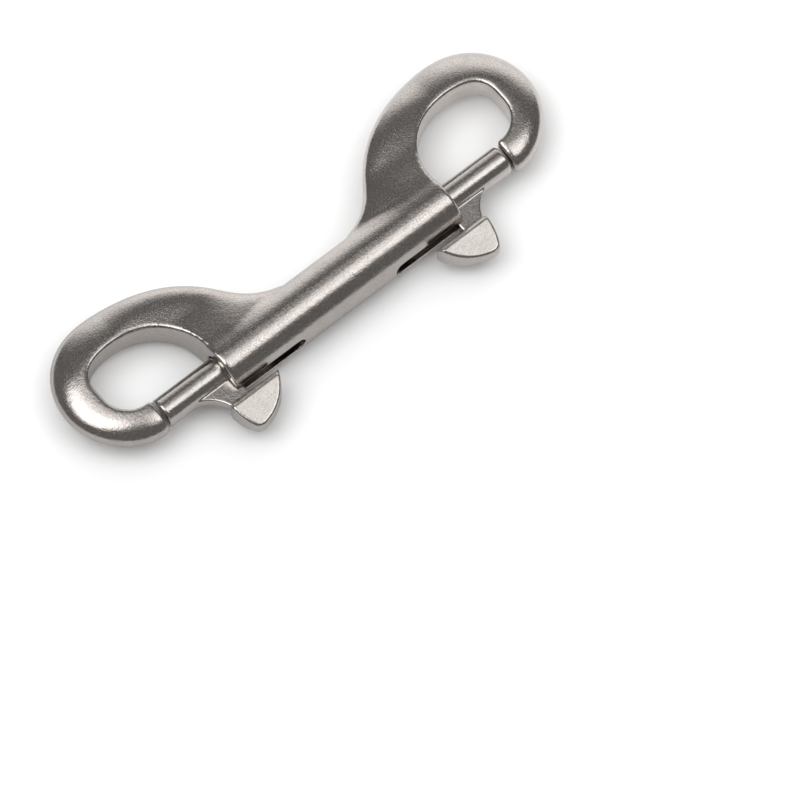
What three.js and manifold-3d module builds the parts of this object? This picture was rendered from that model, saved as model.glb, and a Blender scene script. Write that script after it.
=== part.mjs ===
// Double-ended bolt snap: one cast body with a hook eye at each end, and in each end
// of its barrel a spring-loaded bolt that closes the eye and is drawn back by a thumb pad.
//
// Millimetres, +Z up. X runs along the barrel, Y lies in the plane of the hooks with the
// hooks on +Y and the thumb pads on -Y, and Z is the thickness. The origin is the centre
// of the base of the bounding box. The two halves are alike: the left one is the right
// one turned half a turn about the vertical line through the middle of the barrel's length.

import * as THREE from 'three';
import { mergeVertices } from 'three/addons/utils/BufferGeometryUtils.js';
import Module from 'manifold-3d';

const wasm = await Module();
wasm.setup();

// Driving dimensions. x is counted from mid length, y and z from the barrel axis.
const halfLength = 57.7;
const hookTop = 24.9;
const padBottom = -14.8;

const barrelRadius = 5.95;
const mouthX = 28.4;
const mouthRound = 0.5;
const boreRadius = 3.35;
const partitionHalf = 1.8;
const slotEndX = 11.4;
const slotHalfWidth = 1.75;

const rootHalfThickness = 3.95;
const farHalfThickness = 3.4;
const hookEdgeRound = 0.9;
const noseX = 43.2;
const noseTopY = 2.7;
const noseBottomY = -3.8;
const noseRound = 1.3;
const eyeEndX = 50;
const bearingLowY = 8.7;
const bearingHighY = 11.1;

const boltRadius = 3.1;
const boltTipX = 42.8;
const boltRearX = 18;
const boltTipRound = 0.45;
const pocketRadius = 2.3;
const pocketDepth = 10;

const webRearX = 26.8;
const webHalfThickness = 1.2;
const padHalfThickness = 3;
const padBottomShare = 0.5;
const padTopY = -7.6;
const padEdgeRound = 0.6;

const springRadius = 1.65;
const wireRadius = 0.25;
const springTurns = 12;
const springEndGap = 0.3;

// Facets of the round pieces and of the outlines.
const barrelSides = 48;
const boltSides = 32;
const pocketSides = 20;
const outlineSteps = 9;
const springStepsPerTurn = 9;
const wireArcSteps = 3;

function toSolid(geometry) {
  const bare = geometry.clone();
  bare.deleteAttribute('normal');
  bare.deleteAttribute('uv');
  const merged = mergeVertices(bare, 1e-4);
  return new wasm.Manifold(new wasm.Mesh({
    numProp: 3,
    vertProperties: new Float32Array(merged.attributes.position.array),
    triVerts: new Uint32Array(merged.index.array),
  }));
}

function toGeometry(solid) {
  const mesh = solid.getMesh();
  const geometry = new THREE.BufferGeometry();
  geometry.setAttribute('position', new THREE.BufferAttribute(mesh.vertProperties, 3));
  geometry.setIndex(new THREE.BufferAttribute(mesh.triVerts, 1));
  geometry.computeVertexNormals();
  return geometry;
}

// A solid of revolution about the X axis. The profile is a list of [x, radius].
function turned(profile, sides) {
  const points = profile.map(([x, radius]) => new THREE.Vector2(radius, x));
  return new THREE.LatheGeometry(points, sides).rotateZ(-Math.PI / 2);
}

// A flat plate of the given outline in the XY plane, with its edges rounded off.
function plate(outline, halfThickness, edgeRound, edgeSteps) {
  const geometry = new THREE.ExtrudeGeometry(outline, {
    depth: 2 * (halfThickness - edgeRound),
    curveSegments: outlineSteps,
    bevelThickness: edgeRound,
    bevelSize: edgeRound,
    bevelOffset: -edgeRound,
    bevelSegments: edgeSteps,
  });
  return geometry.translate(0, 0, edgeRound - halfThickness);
}

function blockBetween(low, high) {
  const geometry = new THREE.BoxGeometry(high[0] - low[0], high[1] - low[1], high[2] - low[2]);
  return geometry.translate((low[0] + high[0]) / 2, (low[1] + high[1]) / 2, (low[2] + high[2]) / 2);
}

// The half turn that makes the left half out of the right one.
function turnedAbout(geometry) {
  return geometry.clone().rotateY(Math.PI);
}

// Outline of one hook: up from the barrel, over the top, round the end, along the
// underside to the nose, then back round the inside of the eye, whose far end is flat
// for a short way where a ring or rope bears on it.
function hookOutline() {
  const outline = new THREE.Shape();
  outline.moveTo(8.2, 2);
  outline.lineTo(8.2, 5.8);
  outline.bezierCurveTo(15.1, 7.4, 16.7, 11.5, 19.5, 14.7);
  outline.bezierCurveTo(24.9, 21, 33.2, hookTop, 42.9, hookTop);
  outline.bezierCurveTo(52.5, hookTop, halfLength, 17.9, halfLength, 10.5);
  outline.bezierCurveTo(halfLength, 2.8, 51, noseBottomY, noseX + noseRound, noseBottomY);
  outline.absarc(noseX + noseRound, noseBottomY + noseRound, noseRound, -Math.PI / 2, Math.PI, true);
  outline.lineTo(noseX, noseTopY);
  outline.bezierCurveTo(46.4, 2.4, eyeEndX, 5, eyeEndX, bearingLowY);
  outline.lineTo(eyeEndX, bearingHighY);
  outline.bezierCurveTo(eyeEndX, 15.1, 46.8, 16.65, 42, 16.65);
  outline.bezierCurveTo(33.2, 16.65, mouthX, 10.4, mouthX, 3.7);
  outline.lineTo(mouthX, 2);
  outline.closePath();
  return outline;
}

// The casting is thickest at its root on the barrel and thins towards the end of the hook.
function thinTowardsEnd(geometry) {
  const position = geometry.attributes.position;
  for (let i = 0; i < position.count; i += 1) {
    const share = THREE.MathUtils.smoothstep(position.getX(i), mouthX - 4, halfLength - 5);
    const half = THREE.MathUtils.lerp(rootHalfThickness, farHalfThickness, share);
    position.setZ(i, position.getZ(i) * half / rootHalfThickness);
  }
  return geometry;
}

function makeBody() {
  const barrel = turned([
    [-mouthX, 0],
    [-mouthX, barrelRadius - mouthRound],
    [-mouthX + mouthRound, barrelRadius],
    [mouthX - mouthRound, barrelRadius],
    [mouthX, barrelRadius - mouthRound],
    [mouthX, 0],
  ], barrelSides);
  const hook = thinTowardsEnd(plate(hookOutline(), rootHalfThickness, hookEdgeRound, 3));
  const bore = turned([
    [partitionHalf, 0],
    [partitionHalf, boreRadius],
    [mouthX + 2, boreRadius],
    [mouthX + 2, 0],
  ], boltSides);
  const slotRound = new THREE.CylinderGeometry(slotHalfWidth, slotHalfWidth, 8, pocketSides);
  slotRound.translate(slotEndX + slotHalfWidth, -4, 0);
  const slotRun = blockBetween(
    [slotEndX + slotHalfWidth, -8, -slotHalfWidth],
    [mouthX + 2, 0, slotHalfWidth],
  );
  let solid = toSolid(barrel);
  for (const side of [hook, turnedAbout(hook)]) {
    solid = solid.add(toSolid(side));
  }
  for (const cutter of [bore, slotRound, slotRun]) {
    solid = solid.subtract(toSolid(cutter)).subtract(toSolid(turnedAbout(cutter)));
  }
  return toGeometry(solid);
}

// Outline of the thumb pad: a long straight top, a blunt front and a fanned underside
// that sweeps back up to a point at the rear.
function padOutline() {
  const outline = new THREE.Shape();
  outline.moveTo(19.8, padTopY);
  outline.bezierCurveTo(20.6, -10.1, 23, -13.6, 28.7, padBottom);
  outline.quadraticCurveTo(30, padBottom - 0.1, 30.5, -14.1);
  outline.quadraticCurveTo(31.9, -11.3, 32, -8);
  outline.lineTo(31.4, padTopY);
  outline.closePath();
  return outline;
}

// The pad is a wedge, half as thick at the bottom as it is next to the barrel.
function thinTowardsBottom(geometry) {
  const position = geometry.attributes.position;
  for (let i = 0; i < position.count; i += 1) {
    const share = (padTopY - position.getY(i)) / (padTopY - padBottom);
    position.setZ(i, position.getZ(i) * THREE.MathUtils.lerp(1, padBottomShare, share));
  }
  return geometry;
}

// Outline of the web that carries the pad through the slot, with a hollow front.
function webOutline() {
  const outline = new THREE.Shape();
  outline.moveTo(webRearX, -9);
  outline.lineTo(31, -9);
  outline.quadraticCurveTo(32.4, -4.6, 37.3, -2.6);
  outline.lineTo(37.3, -1);
  outline.lineTo(webRearX, -1);
  outline.closePath();
  return outline;
}

function makeBolt() {
  const rod = turned([
    [boltRearX, 0],
    [boltRearX, boltRadius],
    [boltTipX - boltTipRound, boltRadius],
    [boltTipX, boltRadius - boltTipRound],
    [boltTipX, 0],
  ], boltSides);
  const web = plate(webOutline(), webHalfThickness, 0.25, 1);
  const pad = thinTowardsBottom(plate(padOutline(), padHalfThickness, padEdgeRound, 2));
  const pocket = turned([
    [boltRearX - 1, 0],
    [boltRearX - 1, pocketRadius],
    [boltRearX + pocketDepth, pocketRadius],
    [boltRearX + pocketDepth, 0],
  ], boltSides);
  const solid = toSolid(rod).add(toSolid(web)).add(toSolid(pad)).subtract(toSolid(pocket));
  return toGeometry(solid);
}

// The spring stands between the partition in the barrel and the bottom of the pocket
// in the bolt's rear end. Its wire is a tube swept along a helix about the X axis.
class Helix extends THREE.Curve {
  constructor(startX, endX) {
    super();
    this.startX = startX;
    this.endX = endX;
  }

  getPoint(t, target = new THREE.Vector3()) {
    const turn = 2 * Math.PI * springTurns * t;
    return target.set(
      THREE.MathUtils.lerp(this.startX, this.endX, t),
      springRadius * Math.cos(turn),
      springRadius * Math.sin(turn),
    );
  }
}

function makeSpring() {
  const clear = springEndGap + wireRadius;
  const path = new Helix(partitionHalf + clear, boltRearX + pocketDepth - clear);
  const wire = new THREE.Shape();
  wire.absarc(0, 0, wireRadius, 0, 2 * Math.PI);
  return new THREE.ExtrudeGeometry(wire, {
    steps: springTurns * springStepsPerTurn,
    curveSegments: wireArcSteps,
    bevelEnabled: false,
    extrudePath: path,
  });
}

function finish(color, roughness) {
  return new THREE.MeshStandardMaterial({ color, roughness, metalness: 1 });
}

// One end's moving pieces, in a group that is turned half a turn for the left end.
function makeEnd(side, turn) {
  const end = new THREE.Group();
  end.rotation.y = turn;
  const bolt = new THREE.Mesh(makeBolt(), finish(0xb9b4ac, 0.3));
  bolt.name = `${side}_bolt`;
  const spring = new THREE.Mesh(makeSpring(), finish(0x8d8f92, 0.35));
  spring.name = `${side}_spring`;
  end.add(bolt, spring);
  return end;
}

const snap = new THREE.Group();
snap.position.set(0, -(hookTop + padBottom) / 2, barrelRadius);
const body = new THREE.Mesh(makeBody(), finish(0xb3aea6, 0.35));
body.name = 'body';
snap.add(body, makeEnd('right', 0), makeEnd('left', Math.PI));

const part = new THREE.Group();
part.add(snap);

export default part;
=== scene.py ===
import math

import bmesh
import bpy
import numpy as np
from mathutils import Matrix, Vector
from mathutils.geometry import interpolate_bezier


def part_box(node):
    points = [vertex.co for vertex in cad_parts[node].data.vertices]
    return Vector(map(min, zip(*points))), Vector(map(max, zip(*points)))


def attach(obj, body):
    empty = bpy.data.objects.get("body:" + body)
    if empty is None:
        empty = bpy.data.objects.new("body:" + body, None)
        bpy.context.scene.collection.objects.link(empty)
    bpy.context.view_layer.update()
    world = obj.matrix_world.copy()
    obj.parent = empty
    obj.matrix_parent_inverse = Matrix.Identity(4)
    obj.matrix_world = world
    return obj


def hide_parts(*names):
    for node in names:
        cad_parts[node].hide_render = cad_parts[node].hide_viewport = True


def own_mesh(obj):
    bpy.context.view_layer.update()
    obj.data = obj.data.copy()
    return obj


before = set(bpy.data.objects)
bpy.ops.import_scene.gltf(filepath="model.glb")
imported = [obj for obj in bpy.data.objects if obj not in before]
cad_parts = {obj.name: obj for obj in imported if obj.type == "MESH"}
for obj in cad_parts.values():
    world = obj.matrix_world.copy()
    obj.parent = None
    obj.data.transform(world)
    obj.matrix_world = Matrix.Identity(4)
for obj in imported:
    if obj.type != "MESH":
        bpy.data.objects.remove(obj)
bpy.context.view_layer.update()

mm = 0.001  # pieces are drawn in millimetres about the barrel's axis, then put in the frame
pinhole = 0.02  # turned shapes start this far from their axis
overshoot = 2  # cutters reach this far past the metal

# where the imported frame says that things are
boltLow, boltHigh = [Vector(corner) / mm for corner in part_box("right_bolt")]
bodyLow, bodyHigh = [Vector(corner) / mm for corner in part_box("body")]
springLow, springHigh = [Vector(corner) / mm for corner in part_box("right_spring")]
boltRadius = (boltHigh.z - boltLow.z) / 2
barrelRadius = (bodyHigh.z - bodyLow.z) / 2
axisPoint = Vector((0, boltHigh.y - boltRadius, (bodyHigh.z + bodyLow.z) / 2))
halfLength = bodyHigh.x
hookTop = bodyHigh.y - axisPoint.y
padBottom = boltLow.y - axisPoint.y
boltTip, boltRear = boltHigh.x, boltLow.x
print("frame read: length", round(2 * halfLength, 1), "barrel", round(2 * barrelRadius, 2))


# small tools that several pieces use
def makeObject(name, points, faces):
    mesh = bpy.data.meshes.new(name)
    mesh.from_pydata([tuple(p) for p in points], [], faces)
    obj = bpy.data.objects.new(name, mesh)
    bpy.context.scene.collection.objects.link(obj)
    bm = bmesh.new()
    bm.from_mesh(mesh)
    bmesh.ops.remove_doubles(bm, verts=bm.verts, dist=0.0005)
    bmesh.ops.recalc_face_normals(bm, faces=bm.faces)
    bm.to_mesh(mesh)
    bm.free()
    return obj


def removeObject(obj):
    mesh = obj.data
    bpy.data.objects.remove(obj)
    bpy.data.meshes.remove(mesh)


def joinObjects(name, objects):
    bm = bmesh.new()
    for obj in objects:
        bm.from_mesh(obj.data)
        removeObject(obj)
    mesh = bpy.data.meshes.new(name)
    bm.to_mesh(mesh)
    bm.free()
    joined = bpy.data.objects.new(name, mesh)
    bpy.context.scene.collection.objects.link(joined)
    return joined


def bakeModifiers(obj):
    graph = bpy.context.evaluated_depsgraph_get()
    mesh = bpy.data.meshes.new_from_object(obj.evaluated_get(graph))
    obj.modifiers.clear()
    old = obj.data
    obj.data = mesh
    bpy.data.meshes.remove(old)
    return obj


def skinOver(obj, voxel, smoothing):  # one skin over everything that overlaps, its edges softened
    remesh = obj.modifiers.new("skin", "REMESH")
    remesh.mode = "VOXEL"
    remesh.voxel_size = voxel
    soften = obj.modifiers.new("soften", "SMOOTH")
    soften.factor = 0.5
    soften.iterations = smoothing
    return bakeModifiers(obj)


def combine(obj, other, operation):  # one solid out of two
    step = obj.modifiers.new("combine", "BOOLEAN")
    step.operation = operation
    step.solver = "MANIFOLD"
    step.object = other
    bakeModifiers(obj)
    removeObject(other)


def turnedRound(obj, name):  # a copy for the left end, half a turn about the Y axis
    copy = bpy.data.objects.new(name, obj.data.copy())
    bpy.context.scene.collection.objects.link(copy)
    copy.data.transform(Matrix.Rotation(math.pi, 4, "Y"))
    return copy


def placeInFrame(obj):
    obj.data.transform(Matrix.Translation(axisPoint * mm) @ Matrix.Scale(mm, 4))
    obj.data.shade_smooth()
    return obj


def curveThrough(anchors, count):  # points along one cubic, from its four control points
    return interpolate_bezier(*[Vector((x, y, 0)) for x, y in anchors], count)


def spacedAlong(points, count):  # the same line, its points evenly spaced
    lengths = [0]
    for a, b in zip(points, points[1:]):
        lengths.append(lengths[-1] + (b - a).length)
    spaced, k = [], 0
    for i in range(count):
        want = lengths[-1] * i / (count - 1)
        while k < len(points) - 2 and lengths[k + 1] < want:
            k += 1
        share = (want - lengths[k]) / max(lengths[k + 1] - lengths[k], 1e-9)
        spaced.append(points[k].lerp(points[k + 1], min(share, 1)))
    return spaced


def smoothStep(low, high, value):
    share = min(max((value - low) / (high - low), 0), 1)
    return share * share * (3 - 2 * share)


def between(a, b, share):
    return a + (b - a) * share


def loftRings(name, rings):  # closed skin over a row of rings with equal numbers of points
    size = len(rings[0])
    faces = []
    for k in range(len(rings) - 1):
        for i in range(size):
            j = (i + 1) % size
            faces.append((k * size + i, k * size + j, (k + 1) * size + j, (k + 1) * size + i))
    faces.append(tuple(range(size)))
    faces.append(tuple(range((len(rings) - 1) * size, len(rings) * size)))
    return makeObject(name, [point for ring in rings for point in ring], faces)


def turnedShape(name, profile, sides):  # solid of revolution about X; the profile is (x, radius)
    rings = []
    for x, radius in profile:
        angles = [2 * math.pi * i / sides for i in range(sides)]
        rings.append([(x, radius * math.cos(a), radius * math.sin(a)) for a in angles])
    return loftRings(name, rings)


def roundedRim(x, radius, edge, steps=6):  # from the flat end out to the round wall
    rim = []
    for i in range(steps + 1):
        angle = math.pi / 2 * i / steps
        rim.append((x - edge * (1 - math.cos(angle)), radius - edge * (1 - math.sin(angle))))
    return rim


# the camera stands far off, so that the perspective is slight
cameraView = {
    "turn": 39.2,           # degrees that the barrel is turned in the view
    "elevation": 66.0,      # degrees above the plane of the hooks
    "roll": -0.24,
    "distance": 2500,
    "frameWidth": 155.1,    # millimetres across the picture at the object
    "barrelRight": -13.05,  # where the middle of the barrel lies from the picture's centre
    "barrelUp": 22.0,
}


def makeCamera():
    turn, rise = math.radians(cameraView["turn"]), math.radians(cameraView["elevation"])
    right = Vector((math.cos(turn), -math.sin(turn), 0))
    away = Vector((-math.sin(turn) * math.cos(rise), -math.cos(turn) * math.cos(rise), math.sin(rise)))
    rolled = Matrix.Rotation(math.radians(cameraView["roll"]), 3, away)
    right = rolled @ right
    up = away.cross(right)
    target = axisPoint - right * cameraView["barrelRight"] - up * cameraView["barrelUp"]
    data = bpy.data.cameras.new("camera")
    data.sensor_width = 36
    data.lens = data.sensor_width * cameraView["distance"] / cameraView["frameWidth"]
    data.clip_start, data.clip_end = 0.1, 20
    camera = bpy.data.objects.new("camera", data)
    rotation = Matrix((right, up, away)).transposed().to_4x4()
    camera.matrix_world = Matrix.Translation((target + away * cameraView["distance"]) * mm) @ rotation
    bpy.context.scene.collection.objects.link(camera)
    bpy.context.scene.camera = camera


makeCamera()
print("camera placed")

# the body casting: a barrel bored from both ends, and a hook on each end
castBody = {
    "mouth": 28.4,          # end of the barrel
    "mouthEdge": 0.55,
    "boreRadius": 3.35,
    "boreEdge": 0.25,
    "partition": 1.8,       # half of the solid part in the middle
    "slotEnd": 11.4,
    "slotHalf": 1.75,
    "rootHalf": 5.5,        # half thickness of the hook where it leaves the barrel
    "neckHalf": 3.9,        # and from neckEnd on, counted across the barrel
    "neckEnd": 13,
    "noseHalf": 3.4,
    "rootPower": 4.5,       # fullness of the section towards its outer edge: flat at the root
    "ringPower": 1.6,       # falling off all the way over the top
    "nosePower": 2.1,       # and round at the nose
    "innerPower": 4.5,      # the edge round the eye is tight
    "ringFrom": 16,         # the section changes from root to ring between these places along the barrel
    "ringFull": 40,
    "noseFrom": 0.55,       # and from ring to nose between these shares of the hook's length
    "noseFull": 0.8,
    "crest": 0.85,          # the section is thickest this far from the eye
    "swellFull": 23,        # the root has its full height from here to the mouth
    "swellPast": 9,         # and nothing further than this past the mouth is swollen
    "blendFar": 2.0,        # how far the root runs out over the barrel, behind and at the mouth
    "blendNear": 0.6,
    "blendTop": 9,          # it does so below this height
    "blendFrom": 1.5,       # and no nearer to the mid plane than this
    "nose": 43.2,
    "noseTop": 2.7,
    "noseBottom": -3.8,
    "noseEdge": 0.9,
    "eyeEnd": 50.0,
    "rootStart": 8.2,
    "rootDepth": 0.4,       # how far above the barrel's axis the root starts
    "barrelSides": 192,
    "boreSides": 128,
    "voxel": 0.295,
    "smoothing": 4,
}


def hookLines():  # the outer and the inner edge of the hook, in matching pairs of points
    c = castBody
    depth, eye, noseRear = c["rootDepth"], c["eyeEnd"], c["nose"] + c["noseEdge"]
    bearing = Vector((eye, 9.9, 0))  # the middle of the flat that a ring bears on
    outer = [
        [(c["rootStart"], 5.8), (15.1, 7.4), (16.7, 11.5), (19.5, 14.7)],
        [(19.5, 14.7), (24.9, 21.0), (33.2, hookTop), (42.9, hookTop)],
        [(42.9, hookTop), (52.5, hookTop), (halfLength, 17.9), (halfLength, 10.5)],
        [(halfLength, 10.5), (halfLength, 2.8), (51.0, c["noseBottom"]), (44.5, c["noseBottom"])],
    ]
    inner = [
        [(c["mouth"], 3.7), (c["mouth"], 10.4), (33.2, 16.65), (42.0, 16.65)],
        [(42.0, 16.65), (46.8, 16.65), (eye, 15.1), (eye, 11.1)],
        [(eye, 8.7), (eye, 5.0), (46.8, 2.5), (noseRear, c["noseTop"])],
    ]
    outer = [curveThrough(anchors, 60) for anchors in outer]
    inner = [curveThrough(anchors, 60) for anchors in inner]
    outer[0].insert(0, Vector((c["rootStart"], depth, 0)))
    outer[3].append(Vector((noseRear, c["noseBottom"], 0)))
    inner[0].insert(0, Vector((c["mouth"], depth, 0)))
    inner[1].append(bearing)
    inner[2].insert(0, bearing)
    counts = [46, 36, 40, 46]  # sections in each stretch of the hook
    rise = spacedAlong(inner[0], counts[0] + counts[1] - 1)
    innerParts = [rise[:counts[0]], rise[counts[0] - 1:], spacedAlong(inner[1], counts[2]),
                  spacedAlong(inner[2], counts[3])]
    outerParts = [spacedAlong(line, count) for line, count in zip(outer, counts)]
    pairs = list(zip(innerParts[0], outerParts[0]))
    for k in range(1, len(counts)):
        pairs += list(zip(innerParts[k][1:], outerParts[k][1:]))
    return pairs


def overBarrel(y, z, reach):  # lifts a point of the root so that it runs out smoothly on the barrel
    wall = math.sqrt(max(barrelRadius ** 2 - y * y, 0)) - 0.03
    overlap = max(reach - abs(z - wall), 0) / reach
    return max(z, wall) + overlap * overlap * reach / 4


def hookRing(inner, outer, share, outerPower, inset=0, steps=24):  # one section, thickest near the eye
    c = castBody
    half = between(c["neckHalf"], c["noseHalf"], share) - inset
    width = (outer - inner).length
    crest = inner.lerp(outer, min(c["crest"] / width, 0.3))
    across = (outer - inner).normalized()
    ring = []
    for i in range(4 * steps):
        cosine, sine = math.cos(math.pi / 2 * i / steps), math.sin(math.pi / 2 * i / steps)
        power, edge = (outerPower, outer) if cosine > 0 else (c["innerPower"], inner)
        reach = max((edge - crest).length - inset, 0.05)
        place = crest + across * math.copysign(reach * abs(cosine) ** (2 / power), cosine)
        z = half * abs(sine) ** (2 / power)
        if place.x < c["mouth"] + c["swellPast"]:  # the root swells up to the barrel's height
            near = smoothStep(c["rootStart"], c["swellFull"], place.x)
            swell = near * (1 - smoothStep(1, c["neckEnd"], place.y))
            z *= between(1, c["rootHalf"] / c["neckHalf"], swell)
        if place.x < c["mouth"] + 0.1 and place.y < c["blendTop"] and z > c["blendFrom"]:
            z = overBarrel(place.y, z, between(c["blendFar"], c["blendNear"], near))
        ring.append((place.x, place.y, math.copysign(z, sine)))
    return ring


def makeHook():
    c = castBody
    rings = []
    pairs = hookLines()
    for k, (inner, outer) in enumerate(pairs):
        share = smoothStep(c["ringFrom"], c["ringFull"], outer.x) if k < len(pairs) / 2 else 1
        power = between(c["rootPower"], c["ringPower"], share)
        noseShare = smoothStep(c["noseFrom"], c["noseFull"], k / len(pairs))
        power = between(power, c["nosePower"], noseShare)
        rings.append(hookRing(inner, outer, share, power))
    inner, outer = pairs[-1]
    edge, steps = c["noseEdge"], 6
    for i in range(1, steps + 1):  # the nose is rounded off by rings that shrink
        angle = math.pi / 2 * i / steps
        back = Vector((edge * math.sin(angle), 0, 0))
        inset = edge * (1 - math.cos(angle))
        rings.append(hookRing(inner - back, outer - back, 1, c["nosePower"], inset))
    return loftRings("hook", rings)


def makeBarrel():
    rim = roundedRim(castBody["mouth"], barrelRadius, castBody["mouthEdge"])
    half = [(castBody["mouth"], pinhole)] + rim
    other = [(-x, radius) for x, radius in reversed(half)]
    return turnedShape("barrel", half + other, castBody["barrelSides"])


def makeBore():  # with a small lead-in at the mouth
    c = castBody
    lip = c["boreRadius"] + c["boreEdge"]
    outside = c["mouth"] + 1
    profile = [(c["partition"], pinhole), (c["partition"], c["boreRadius"])]
    profile += [(c["mouth"] - c["boreEdge"], c["boreRadius"]), (c["mouth"], lip), (outside, lip + 1)]
    return turnedShape("bore", profile + [(outside, pinhole)], c["boreSides"])


def makeSlot():
    c = castBody
    half, low, outside = c["slotHalf"], -barrelRadius - overshoot, c["mouth"] + overshoot
    middle, steps = c["slotEnd"] + c["slotHalf"], 16
    outline = [(outside, half)]
    for i in range(steps + 1):
        angle = math.pi / 2 + math.pi * i / steps
        outline.append((middle + half * math.cos(angle), half * math.sin(angle)))
    outline.append((outside, -half))
    return loftRings("slot", [[(x, low, z) for x, z in outline], [(x, 0, z) for x, z in outline]])


def makeBody():
    body = makeBarrel()
    body.name = "snapBody"
    hook = makeHook()
    for piece in (turnedRound(hook, "otherHook"), hook):
        combine(body, piece, "UNION")
    for cutter in (makeBore(), makeSlot()):
        combine(body, turnedRound(cutter, "otherCutter"), "DIFFERENCE")
        combine(body, cutter, "DIFFERENCE")
    skinOver(body, castBody["voxel"], castBody["smoothing"])
    return placeInFrame(body)


snapBody = makeBody()
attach(snapBody, "casting")
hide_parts("body")
print("body cast:", len(snapBody.data.polygons), "faces")

# the bolts: a rod, and a web that carries the thumb pad out through the slot
bolt = {
    "tipEdge": 0.5,
    "rearEdge": 0.3,
    "pocketRadius": 2.3,
    "pocketDepth": 10,
    "webRear": 26.8,
    "webHalf": 1.2,
    "webEdge": 0.3,
    "padHalf": 3.0,         # half thickness of the pad at its top edge
    "padFall": 1.5,         # how much thinner each side gets towards the bottom
    "padEdge": 0.55,
    "padBevel": 1.1,        # width of the sloping band next to the barrel
    "padBevelFall": 0.7,
    "padTop": -7.6,
    "sides": 144,
    "voxel": 0.15,
    "smoothing": 3,
}


def edgeDistance(points, outline):  # how far inside a closed outline each point lies
    a, b = outline, np.roll(outline, -1, axis=0)
    run = b - a
    share = ((points[:, None] - a) * run).sum(2) / np.maximum((run ** 2).sum(1), 1e-12)
    nearest = a + np.clip(share, 0, 1)[..., None] * run
    return np.sqrt(((points[:, None] - nearest) ** 2).sum(2)).min(1)


def pillow(name, outline, height, edge, rings=22):  # a plate with a shaped face over its outline
    outline = np.array([(p.x, p.y) for p in outline])
    centre = outline.mean(0)
    shells = []
    for k in range(rings + 1):
        scale = 1 - (k / rings) ** 1.7 * 0.999  # the shells lie closest together at the rim
        points = centre + (outline - centre) * scale
        inside = np.minimum(edgeDistance(points, outline), edge)
        drop = edge - np.sqrt(edge ** 2 - (edge - inside) ** 2)
        shells.append([(x, y, height(x, y) - d) for (x, y), d in zip(points, drop)])
    under = [[(x, y, -z) for x, y, z in shell] for shell in shells]
    return loftRings(name, under[::-1] + shells)


def padOutline():
    top = bolt["padTop"]
    turns = [
        [(19.8, top), (20.7, -10.1), (23.1, -13.7), (28.4, padBottom + 0.03)],
        [(28.4, padBottom + 0.03), (29.4, padBottom), (30.2, padBottom + 0.1), (30.7, -13.7)],
        [(30.7, -13.7), (31.5, -12.2), (31.9, -10.2), (32.0, -8.7)],
        [(32.0, -8.7), (32.0, -8.0), (31.7, top), (31.0, top)],
    ]
    line = []
    for anchors in turns:
        line += curveThrough(anchors, 40)[:-1]
    return spacedAlong(line + [line[0]], 150)[:-1]


def padHeight(x, y):
    down = bolt["padTop"] - y
    fall = bolt["padFall"] * down / (bolt["padTop"] - padBottom)
    bevel = bolt["padBevelFall"] * max(1 - down / bolt["padBevel"], 0)
    return bolt["padHalf"] - fall - bevel


def webOutline():
    rear, low, high = bolt["webRear"], -9.0, -1.0
    line = [Vector((rear, high, 0)), Vector((rear, low, 0)), Vector((31.2, low, 0))]
    line += curveThrough([(31.2, low), (31.9, -5.6), (34.0, -3.2), (37.5, -2.6)], 30)
    return spacedAlong(line + [Vector((37.5, high, 0)), line[0]], 120)[:-1]


def makeBolt(name):
    b = bolt
    pocketEnd = boltRear + b["pocketDepth"]
    profile = [(pocketEnd, pinhole), (pocketEnd, b["pocketRadius"]), (boltRear, b["pocketRadius"])]
    profile += [(boltRear, boltRadius - b["rearEdge"]), (boltRear + b["rearEdge"], boltRadius)]
    profile += roundedRim(boltTip, boltRadius, b["tipEdge"])[::-1] + [(boltTip, pinhole)]
    rod = turnedShape("rod", profile, b["sides"])
    web = pillow("web", webOutline(), lambda x, y: b["webHalf"], b["webEdge"])
    pad = pillow("pad", padOutline(), padHeight, b["padEdge"])
    whole = joinObjects(name, [rod, web, pad])
    return skinOver(whole, b["voxel"], b["smoothing"])


rightBolt = makeBolt("rightBolt")
leftBolt = turnedRound(rightBolt, "leftBolt")
for piece, side in ((rightBolt, "right"), (leftBolt, "left")):
    placeInFrame(piece)
    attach(piece, side + "_slider")
    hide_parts(side + "_bolt")
print("bolts made:", len(rightBolt.data.polygons), "faces each")

# the springs in the barrel, closed at both ends
spring = {
    "radius": 1.65,
    "wire": 0.25,
    "turns": 12,
    "closedTurns": 1.25,    # at each end, where the coils lie together
    "closedRise": 2.1,      # of a closed turn, in wire radii
    "stepsPerTurn": 28,
    "wireSides": 12,
}


def springPath():
    s = spring
    start = springLow.x + s["wire"]
    end = springHigh.x - s["wire"]
    closed, turns = s["closedTurns"], s["turns"]
    tight = s["closedRise"] * s["wire"]
    steps = int((turns + 2 * closed) * s["stepsPerTurn"])
    path = []
    for i in range(steps + 1):
        turn = (turns + 2 * closed) * i / steps
        if turn < closed:
            x = start + tight * turn
        elif turn > turns + closed:
            x = end - tight * (turns + 2 * closed - turn)
        else:
            x = between(start + tight * closed, end - tight * closed, (turn - closed) / turns)
        angle = 2 * math.pi * turn
        path.append(Vector((x, s["radius"] * math.cos(angle), s["radius"] * math.sin(angle))))
    return path


def makeSpring(name):
    path = springPath()
    rings = []
    for k, point in enumerate(path):
        ahead = (path[min(k + 1, len(path) - 1)] - path[max(k - 1, 0)]).normalized()
        out = Vector((0, point.y, point.z)).normalized()
        side = ahead.cross(out).normalized()
        out = side.cross(ahead)
        ring = []
        for i in range(spring["wireSides"]):
            angle = 2 * math.pi * i / spring["wireSides"]
            ring.append(point + (out * math.cos(angle) + side * math.sin(angle)) * spring["wire"])
        rings.append(ring)
    return loftRings(name, rings)


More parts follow.
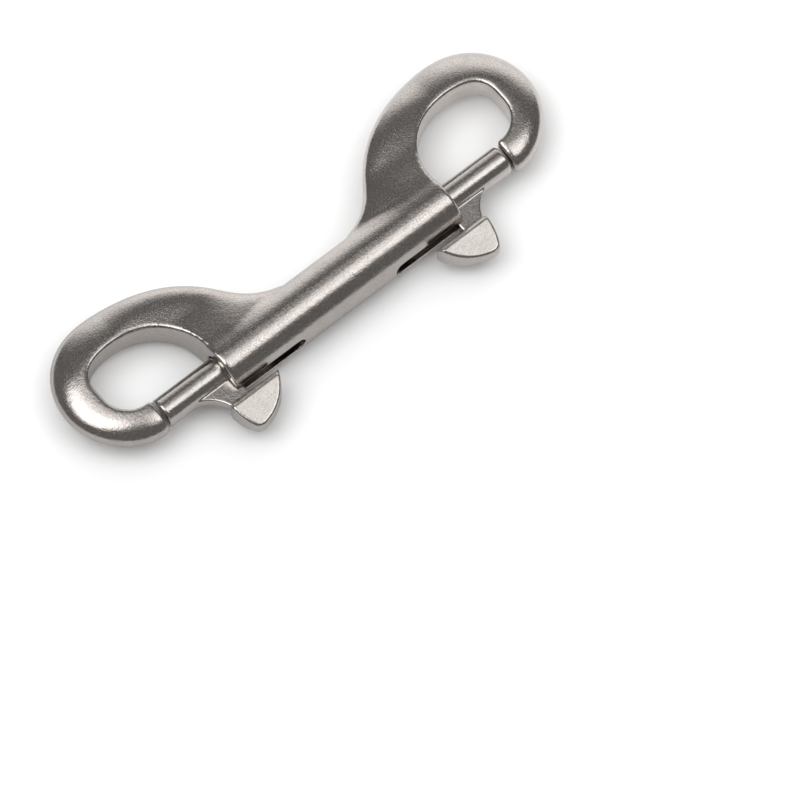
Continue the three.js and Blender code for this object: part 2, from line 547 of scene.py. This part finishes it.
rightSpring = makeSpring("rightSpring")
leftSpring = turnedRound(rightSpring, "leftSpring")
for piece, side, sign in ((rightSpring, "right", 1), (leftSpring, "left", -1)):
    placeInFrame(piece)
    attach(piece, "casting")
    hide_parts(side + "_spring")
    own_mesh(piece)
print("springs wound")


# materials: metal with a fine casting grain, wider ripples and cloudy shades
def newMaterial(name):
    material = bpy.data.materials.new(name)
    material.use_nodes = True
    nodes, links = material.node_tree.nodes, material.node_tree.links
    nodes.clear()
    output = nodes.new("ShaderNodeOutputMaterial")
    shader = nodes.new("ShaderNodeBsdfPrincipled")
    links.new(shader.outputs["BSDF"], output.inputs["Surface"])
    return material, nodes, links, shader


def noiseAt(nodes, links, place, perMm, detail, roughness=0.6):
    noise = nodes.new("ShaderNodeTexNoise")
    noise.inputs["Scale"].default_value = perMm
    noise.inputs["Detail"].default_value = detail
    noise.inputs["Roughness"].default_value = roughness
    links.new(place.outputs["Vector"], noise.inputs["Vector"])
    return noise.outputs["Fac"]


def millimetres(nodes, links):  # the piece's own coordinates, counted in millimetres
    where = nodes.new("ShaderNodeTexCoord")
    scaled = nodes.new("ShaderNodeVectorMath")
    scaled.operation = "SCALE"
    scaled.inputs["Scale"].default_value = 1 / mm
    links.new(where.outputs["Object"], scaled.inputs[0])
    return scaled


def remap(nodes, links, value, low, high, newLow, newHigh):
    node = nodes.new("ShaderNodeMapRange")
    for socket, number in zip(("From Min", "From Max", "To Min", "To Max"), (low, high, newLow, newHigh)):
        node.inputs[socket].default_value = number
    links.new(value, node.inputs["Value"])
    return node.outputs["Result"]


def castSteel(name, look):
    material, nodes, links, shader = newMaterial(name)
    place = millimetres(nodes, links)
    shader.inputs["Metallic"].default_value = 1
    cloud = noiseAt(nodes, links, place, look["cloudPerMm"], 3)
    tint = nodes.new("ShaderNodeMix")
    tint.data_type = "RGBA"
    tint.inputs["A"].default_value = (*look["dark"], 1)
    tint.inputs["B"].default_value = (*look["light"], 1)
    links.new(remap(nodes, links, cloud, 0.3, 0.7, 0, 1), tint.inputs["Factor"])
    grain = noiseAt(nodes, links, place, look["grainPerMm"], 2, 0.55)
    speckle = nodes.new("ShaderNodeVectorMath")  # the pits of the grain stay darker
    speckle.operation = "SCALE"
    links.new(tint.outputs["Result"], speckle.inputs[0])
    links.new(remap(nodes, links, grain, 0.3, 0.7, *look["speckle"]), speckle.inputs["Scale"])
    links.new(speckle.outputs["Vector"], shader.inputs["Base Color"])
    peel = noiseAt(nodes, links, place, look["peelPerMm"], 2, 0.5)
    rough = remap(nodes, links, grain, 0.35, 0.65, look["roughLow"], look["roughHigh"])
    links.new(rough, shader.inputs["Roughness"])
    fine = nodes.new("ShaderNodeBump")
    fine.inputs["Strength"].default_value = 1
    fine.inputs["Distance"].default_value = look["grainHeight"] * mm
    links.new(grain, fine.inputs["Height"])
    coarse = nodes.new("ShaderNodeBump")
    coarse.inputs["Strength"].default_value = 1
    coarse.inputs["Distance"].default_value = look["peelHeight"] * mm
    links.new(peel, coarse.inputs["Height"])
    links.new(fine.outputs["Normal"], coarse.inputs["Normal"])
    links.new(coarse.outputs["Normal"], shader.inputs["Normal"])
    return material


bodySteel = castSteel("tumbledCastSteel", {
    "dark": (0.56, 0.52, 0.49), "light": (0.62, 0.575, 0.545),
    "roughLow": 0.12, "roughHigh": 0.2,
    "speckle": (0.83, 1.13), "cloudPerMm": 0.25,
    "grainPerMm": 3.4, "grainHeight": 0.03,
    "peelPerMm": 1.1, "peelHeight": 0.024,
})
boltSteel = castSteel("boltCastSteel", {
    "dark": (0.58, 0.54, 0.51), "light": (0.64, 0.6, 0.57),
    "roughLow": 0.12, "roughHigh": 0.2,
    "speckle": (0.87, 1.1), "cloudPerMm": 0.25,
    "grainPerMm": 3.4, "grainHeight": 0.026,
    "peelPerMm": 1.1, "peelHeight": 0.018,
})
springSteel = castSteel("springWireSteel", {
    "dark": (0.45, 0.45, 0.46), "light": (0.55, 0.55, 0.56),
    "roughLow": 0.25, "roughHigh": 0.4,
    "speckle": (0.95, 1.05), "cloudPerMm": 0.25,
    "grainPerMm": 8, "grainHeight": 0.004,
    "peelPerMm": 2, "peelHeight": 0.004,
})
for piece, material in ((snapBody, bodySteel), (rightBolt, boltSteel), (leftBolt, boltSteel),
                        (rightSpring, springSteel), (leftSpring, springSteel)):
    piece.data.materials.clear()
    piece.data.materials.append(material)
print("materials assigned")

# floor and light
studio = {
    "floorSize": 6000,
    "floorSeen": 0.93,          # albedo of the paper in the picture
    "mirroredFloorPaintedShade": 0.58,      # painted shade: the paper's colour as the metal mirrors it in front, where the piece shades it
    "floorBehind": 0.9,         # and behind
    "shadeFront": -10,          # the one turns into the other between these distances from the barrel
    "shadeBehind": 30,
    "roomTone": 0.16,
    "overheadHeight": 1500,
    "overheadSize": 3600,
    "overheadPower": 34,
    # what the metal mirrors: degrees from overhead, bearing from the right, radius, softness, brightness
    "lamps": [
        ("sweepBehind", 90, 85, 36, 14, 1.15),
        ("ceiling", 4, 60, 20, 8, 0.42),
        ("softboxLeft", 24, 192, 22, 3.5, 2.4),
        ("softboxLeftEnd", 17, 130, 9, 3, 1.3),
        ("softboxRight", 29, 0, 14, 4, 1.8),
        ("softboxRightEnd", 15, 22, 8, 3, 1.3),
    ],
}


def makeFloor():
    half = studio["floorSize"] / 2 * mm
    corners = [(-half, -half, 0), (half, -half, 0), (half, half, 0), (-half, half, 0)]
    floor = makeObject("floor", corners, [(0, 1, 2, 3)])
    material, nodes, links, shader = newMaterial("palePaper")
    shader.inputs["Roughness"].default_value = 0.9
    shader.inputs["Specular IOR Level"].default_value = 0
    where = nodes.new("ShaderNodeTexCoord")
    away = nodes.new("ShaderNodeVectorMath")
    away.operation = "DOT_PRODUCT"
    turn = math.radians(90 - cameraView["turn"])
    away.inputs[1].default_value = (math.cos(turn) / mm, math.sin(turn) / mm, 0)
    links.new(where.outputs["Object"], away.inputs[0])
    # painted shade: for glossy rays the paper is darker in front of the piece than behind it, in place of
    # the shadow the piece casts
    paintedShadeTone = remap(nodes, links, away.outputs["Value"], studio["shadeFront"], studio["shadeBehind"],
                     studio["mirroredFloorPaintedShade"], studio["floorBehind"])
    # the camera sees the evenly pale paper; glossy rays see the painted-shade colour instead
    path = nodes.new("ShaderNodeLightPath")
    tone = nodes.new("ShaderNodeMix")
    tone.data_type = "RGBA"
    tone.inputs["A"].default_value = (*[studio["floorSeen"]] * 3, 1)
    links.new(paintedShadeTone, tone.inputs["B"])
    links.new(path.outputs["Is Glossy Ray"], tone.inputs["Factor"])
    links.new(tone.outputs["Result"], shader.inputs["Base Color"])
    floor.data.materials.append(material)


def makeOverhead():
    data = bpy.data.lights.new("overhead", "AREA")
    data.shape = "SQUARE"
    data.size = studio["overheadSize"] * mm
    data.energy = studio["overheadPower"]
    light = bpy.data.objects.new("overhead", data)
    light.location = (0, 0, studio["overheadHeight"] * mm)
    light.visible_glossy = False
    bpy.context.scene.collection.objects.link(light)


def makeRoom():
    world = bpy.data.worlds.new("studio")
    world.use_nodes = True
    bpy.context.scene.world = world
    nodes, links = world.node_tree.nodes, world.node_tree.links
    where = nodes.new("ShaderNodeTexCoord")
    tone = nodes.new("ShaderNodeValue")
    tone.outputs[0].default_value = studio["roomTone"]
    tone = tone.outputs[0]
    for name, fromOverhead, bearing, radius, softness, brightness in studio["lamps"]:
        tilt = math.radians(fromOverhead)
        turn = math.radians(bearing - cameraView["turn"])
        facing = nodes.new("ShaderNodeVectorMath")
        facing.operation = "DOT_PRODUCT"
        level = math.sin(tilt)
        direction = (level * math.cos(turn), level * math.sin(turn), math.cos(tilt))
        facing.inputs[1].default_value = direction
        links.new(where.outputs["Generated"], facing.inputs[0])
        edge = nodes.new("ShaderNodeMapRange")
        edge.interpolation_type = "SMOOTHSTEP"
        edge.inputs["From Min"].default_value = math.cos(math.radians(radius + softness))
        edge.inputs["From Max"].default_value = math.cos(math.radians(radius - softness))
        links.new(facing.outputs["Value"], edge.inputs["Value"])
        layer = nodes.new("ShaderNodeMix")
        layer.label = name
        layer.inputs["B"].default_value = brightness
        links.new(edge.outputs["Result"], layer.inputs["Factor"])
        links.new(tone, layer.inputs["A"])
        tone = layer.outputs["Result"]
    links.new(tone, nodes["Background"].inputs["Color"])


makeFloor()
makeOverhead()
makeRoom()
bpy.context.scene.view_settings.view_transform = "Standard"
print("studio lit")
